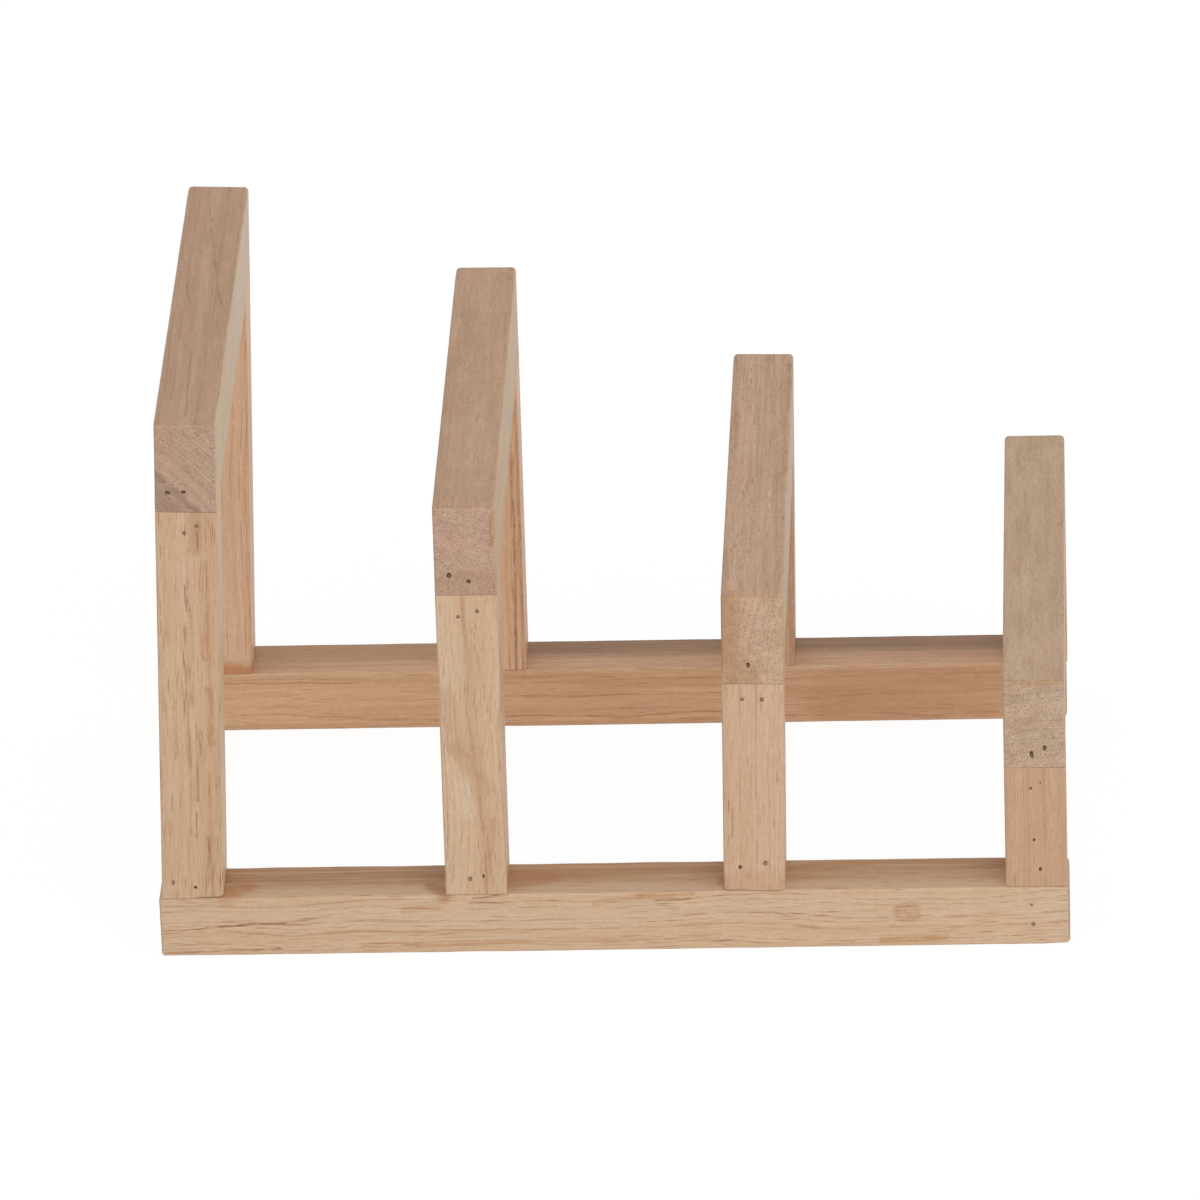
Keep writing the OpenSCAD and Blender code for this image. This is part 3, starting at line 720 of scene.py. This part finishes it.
line = "#7d5b42"         # a dark hairline
crossbar_woods = {
    "crossbar_1": dict(
        pale="#caa483", tan="#b08767", end="#bf9f86", seed=11.0, pith=(-48, 52), ring=3.2,
        rings=0.42, streaks=0.25, lines=0.6, pores=0.3, pore_length=8, drift=0.5, grit=1.3,
        clouds=0.4,
        marks=(
            # Painted sheen: the right side is paler, as if it caught the light at a grazing angle
            ((9.4, 0, -80), (9.4, 0, 80), 60, "#dcc4a0", 0.7, to_right, 0.5),
            ((-2.6, -13.8, 75), (-1.6, -13.8, 62), 0.35, line, 0.7),
            ((-1.6, -13.8, 62), (2.1, -13.8, 27), 0.3, line, 0.45),
            ((2.1, -13.8, 27), (4.1, -13.8, 8), 0.35, line, 0.75),
            ((4.1, -13.8, 8), (6.4, -13.8, -4), 0.4, line, 0.7),
            ((-5.0, -13.8, 11), (-3.7, -13.8, -1), 0.5, line, 0.45),
            ((-1.1, -13.8, -32), (0.2, -13.8, -74), 0.6, line, 0.5),
            ((0.2, -13.6, -79), (7.7, -6.2, -79), 0.5, line, 0.7),
            ((-3, -13.6, -79), (9, -1.5, -79), 0.5, line, 0.5),
            ((-9, 1.5, -79), (3.5, 13.5, -79), 1.8, "#94755f", 0.7),
            ((-9, 9, -79), (-3, 14, -79), 5.5, "#9c7d68", 0.6))),
    "crossbar_2": dict(
        pale="#cba384", tan="#b38c68", end="#c19e86", seed=12.0, pith=(-20, 60), ring=8,
        rings=0.3, streaks=0.45, lines=0.15, pores=0.5, pore_length=8, drift=1.0, grit=1.5,
        clouds=0.5,
        marks=(
            # Painted sheen: the right side is paler, as if it caught the light at a grazing angle
            ((9.4, 0, -80), (9.4, 0, 80), 60, "#d8b98c", 0.55, to_right, 0.5),
            ((6.9, -13.8, 49), (7.9, -13.8, 16), 0.6, line, 0.35),
            ((8.2, -12.5, -79), (7.6, -2.0, -79), 1.1, "#b08355", 0.6),
            ((-9, 11, -79), (9, 9, -79), 7, "#b08c72", 0.4))),
    "crossbar_3": dict(
        pale="#d4af90", tan="#b98e6a", end="#c9a88b", seed=13.0, pith=(60, 10), ring=7,
        rings=0.35, streaks=0.6, lines=0.25, pores=0.95, pore_length=10, drift=1.0, grit=1.5,
        clouds=0.5,
        marks=(
            # Painted sheen: the right side is paler, as if it caught the light at a grazing angle
            ((9.4, 0, -80), (9.4, 0, 80), 60, "#d3b88f", 0.5, to_right, 0.5),
            ((8.2, -13.8, 72), (8.4, -13.8, 43), 1.1, "#9a6a42", 0.7),
            ((-7.5, -11, -79), (-7.5, 14, -79), 6.2, "#b4875f", 0.7),
            ((-2, 8, -79), (0, 14, -79), 3.5, "#b4875f", 0.5))),
    "crossbar_4": dict(
        pale="#d1af93", tan="#ba9873", end="#c2a48a", seed=14.0, pith=(10, 70), ring=8,
        rings=0.3, streaks=0.4, lines=0.3, pores=0.5, pore_length=8, drift=1.0, grit=1.5,
        clouds=0.5,
        marks=(
            ((-8, -13.4, -79), (8, -13.4, -79), 1.4, "#b5875c", 0.55),))}
crossbar_height = 0.0275
front_eases = (0.0009, 0.0009, 0.0014, 0.0009)
for arch, (lean, front_ease) in enumerate(zip(leans, front_eases), 1):
    node = f"crossbar_{arch}"
    low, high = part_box(node)
    stick(node, "crossbar_wood", (stick_thickness, crossbar_height, high.y - low.y),
          (low + high) / 2, (-math.pi / 2, lean, 0), crossbar_woods[node], arris=0.0006,
          start_ease=front_ease, end_ease=0.001, start_corner=0.0006,
          end_corner=0.0013, seat_share=0.15, waviness=0.0001, seed=arch + 15.5)


# ---- Brads -----------------------------------------------------------------------------------
# Fifty headed brads of drawn steel wire hold the butt joints. Some heads were
# sanded flush with the wood, and the others were punched in deep, where they look darker.

flush_heads = {"upright_brads_1": (0, 1), "upright_brads_2": (0, 1), "upright_brads_3": (0, 1),
               "foot_brads_1": (0,), "foot_brads_2": (0,), "foot_brads_3": (1,),
               "rail_brads": (0, 1)}
sunk = 0.00018           # a flush head lies this little under the face, along the brad
punch_depth = 0.0005     # how deep a punched head starts
flush_shape = turned("flush_brad", [
    (0.92 * mouth_radius, sunk, True), (0.92 * mouth_radius, set_depth, True),
    (shank_radius * 0.9, set_depth + head_height, False),
    (shank_radius * 0.9, set_depth + brad_length - point_length, False),
    (tip_radius * 0.9, set_depth + brad_length, False)])
deep_shape = turned("punched_brad", [
    (0.5 * mouth_radius, punch_depth, True), (0.85 * mouth_radius, punch_depth + 0.0001, True),
    (shank_radius * 0.9, set_depth + head_height, False),
    (shank_radius * 0.9, set_depth + brad_length - point_length, False),
    (tip_radius * 0.9, set_depth + brad_length, False)])
# Drawn steel: a dull grey-brown where the head is sanded, and a darker brown where it is punched in
finishes = {}
for name, tones, roughness, metallic in (
        ("sanded_drawn_steel", ("#7b6552", "#a3886f"), 0.5, 0.5),
        ("browned_drawn_steel", ("#76543a", "#9c7551"), 0.65, 0.3)):
    finish = finishes[name] = bpy.data.materials.new(name)
    finish.use_nodes = True
    tree = finish.node_tree
    shader = tree.nodes["Principled BSDF"]
    scratches = add(tree, "ShaderNodeTexNoise", {
        "Vector": add(tree, "ShaderNodeMapping", {
            "Vector": add(tree, "ShaderNodeTexCoord", out="Object"), "Rotation": (0.3, 0.4, 0.2),
            "Scale": (1 / 0.0001, 1 / 0.0001, 1 / 0.001)}), "Scale": 1, "Detail": 2})
    tree.links.new(add(tree, "ShaderNodeMix", {
        0: scratches, 6: linear(tones[0]), 7: linear(tones[1])}, out=2, data_type="RGBA"),
        shader.inputs["Base Color"])
    shader.inputs["Metallic"].default_value = metallic
    shader.inputs["Roughness"].default_value = roughness
for node in brad_nodes:
    fronts = flush_heads.get(node, ())
    count = len(brads[node]) // 2
    groups = {"flush": [], "deep": []}
    for place, brad in enumerate(brads[node]):
        groups["flush" if place % count in fronts else "deep"].append(brad)
    made = [drive(f"{node}_{kind}", group, flush_shape if kind == "flush" else deep_shape,
                  finishes["sanded_drawn_steel" if kind == "flush" else "browned_drawn_steel"])
            for kind, group in groups.items() if group]
    for piece in made:
        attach(piece, "root")
        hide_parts(node)
for shape in (hole_shape, holes, flush_shape, deep_shape):
    bpy.data.objects.remove(shape)


# ---- Setting ---------------------------------------------------------------------------------
# A plain pale floor under a soft, even light: one large panel from the camera's side, and a
# white surround that is dimmer for the light that it throws than for the eye and for gloss.

seen_white = 1.0
sky_level = 0.62
floor_mesh = bpy.data.meshes.new("floor")
reach_out = 6.0
floor_mesh.from_pydata([(-reach_out, -reach_out, 0), (reach_out, -reach_out, 0),
                        (reach_out, reach_out, 0), (-reach_out, reach_out, 0)], [], [(0, 1, 2, 3)])
floor = bpy.data.objects.new("floor", floor_mesh)
bpy.context.scene.collection.objects.link(floor)


def seen_directly(tree):
    """1 for the rays by which the eye, gloss and glass see a surface, and 0 for its light."""
    rays = add(tree, "ShaderNodeLightPath").node.outputs
    return add(tree, "ShaderNodeMath", {
        0: add(tree, "ShaderNodeMath", {0: rays["Is Camera Ray"], 1: rays["Is Glossy Ray"]},
               operation="MAXIMUM"), 1: rays["Is Transmission Ray"]}, operation="MAXIMUM")


# White painted board: a small share of it is shaded, so it keeps the rack's shadow
glow_share, glow_level = 0.86, 1.075
board = bpy.data.materials.new("white_board")
board.use_nodes = True
tree = board.node_tree
tree.nodes.clear()
shown = add(tree, "ShaderNodeMath", {0: seen_directly(tree), 1: glow_share}, operation="MULTIPLY")
paint = add(tree, "ShaderNodeBsdfDiffuse", {"Color": linear("#ededed")})
glow = add(tree, "ShaderNodeEmission", {"Color": linear("#ffffff"), "Strength": glow_level})
add(tree, "ShaderNodeOutputMaterial", {"Surface": add(
    tree, "ShaderNodeMixShader", {0: shown, 1: paint, 2: glow})})
floor_mesh.materials.append(board)

world = bpy.data.worlds.new("studio")
world.use_nodes = True
tree = world.node_tree
tree.nodes.clear()
level = add(tree, "ShaderNodeMapRange", {
    "Value": seen_directly(tree), "To Min": sky_level, "To Max": seen_white})
add(tree, "ShaderNodeOutputWorld", {"Surface": add(
    tree, "ShaderNodeBackground", {"Color": linear("#ffffff"), "Strength": level})})
bpy.context.scene.world = world

panel_width, panel_watts = 1.8, 14.3
panel = bpy.data.lights.new("soft_panel", "AREA")
panel.shape = "SQUARE"
panel.size = panel_width
panel.energy = panel_watts
lamp = bpy.data.objects.new("soft_panel", panel)
lamp_away = Vector((0.8, -1.7, 0.9))
lamp.location = lamp_away
lamp.rotation_euler = (-lamp_away).to_track_quat("-Z", "Y").to_euler()
bpy.context.scene.collection.objects.link(lamp)


# ---- Camera ----------------------------------------------------------------------------------
# A long lens from in front and above, with a slight roll, as the picture was taken.

focal_pixels = 12413.8   # for a picture 1200 pixels wide
picture_width = 1200
camera_place = (0.15617, -3.19968, 1.68746)
yaw, pitch, roll = [math.radians(degrees) for degrees in (-2.877, 26.756, -2.168)]
eye = bpy.data.cameras.new("eye")
eye.sensor_width = 36
eye.lens = focal_pixels / picture_width * eye.sensor_width
eye.clip_end = 100
camera = bpy.data.objects.new("eye", eye)
ahead = Vector((math.sin(yaw) * math.cos(pitch), math.cos(yaw) * math.cos(pitch),
                -math.sin(pitch)))
level_right = Vector((math.cos(yaw), -math.sin(yaw), 0))
level_up = level_right.cross(ahead)
right = math.cos(roll) * level_right + math.sin(roll) * level_up
up = math.cos(roll) * level_up - math.sin(roll) * level_right
camera.matrix_world = Matrix.Translation(camera_place) @ Matrix(
    (right, up, -ahead)).transposed().to_4x4()
bpy.context.scene.collection.objects.link(camera)
bpy.context.scene.camera = camera
bpy.context.scene.view_settings.view_transform = "Standard"
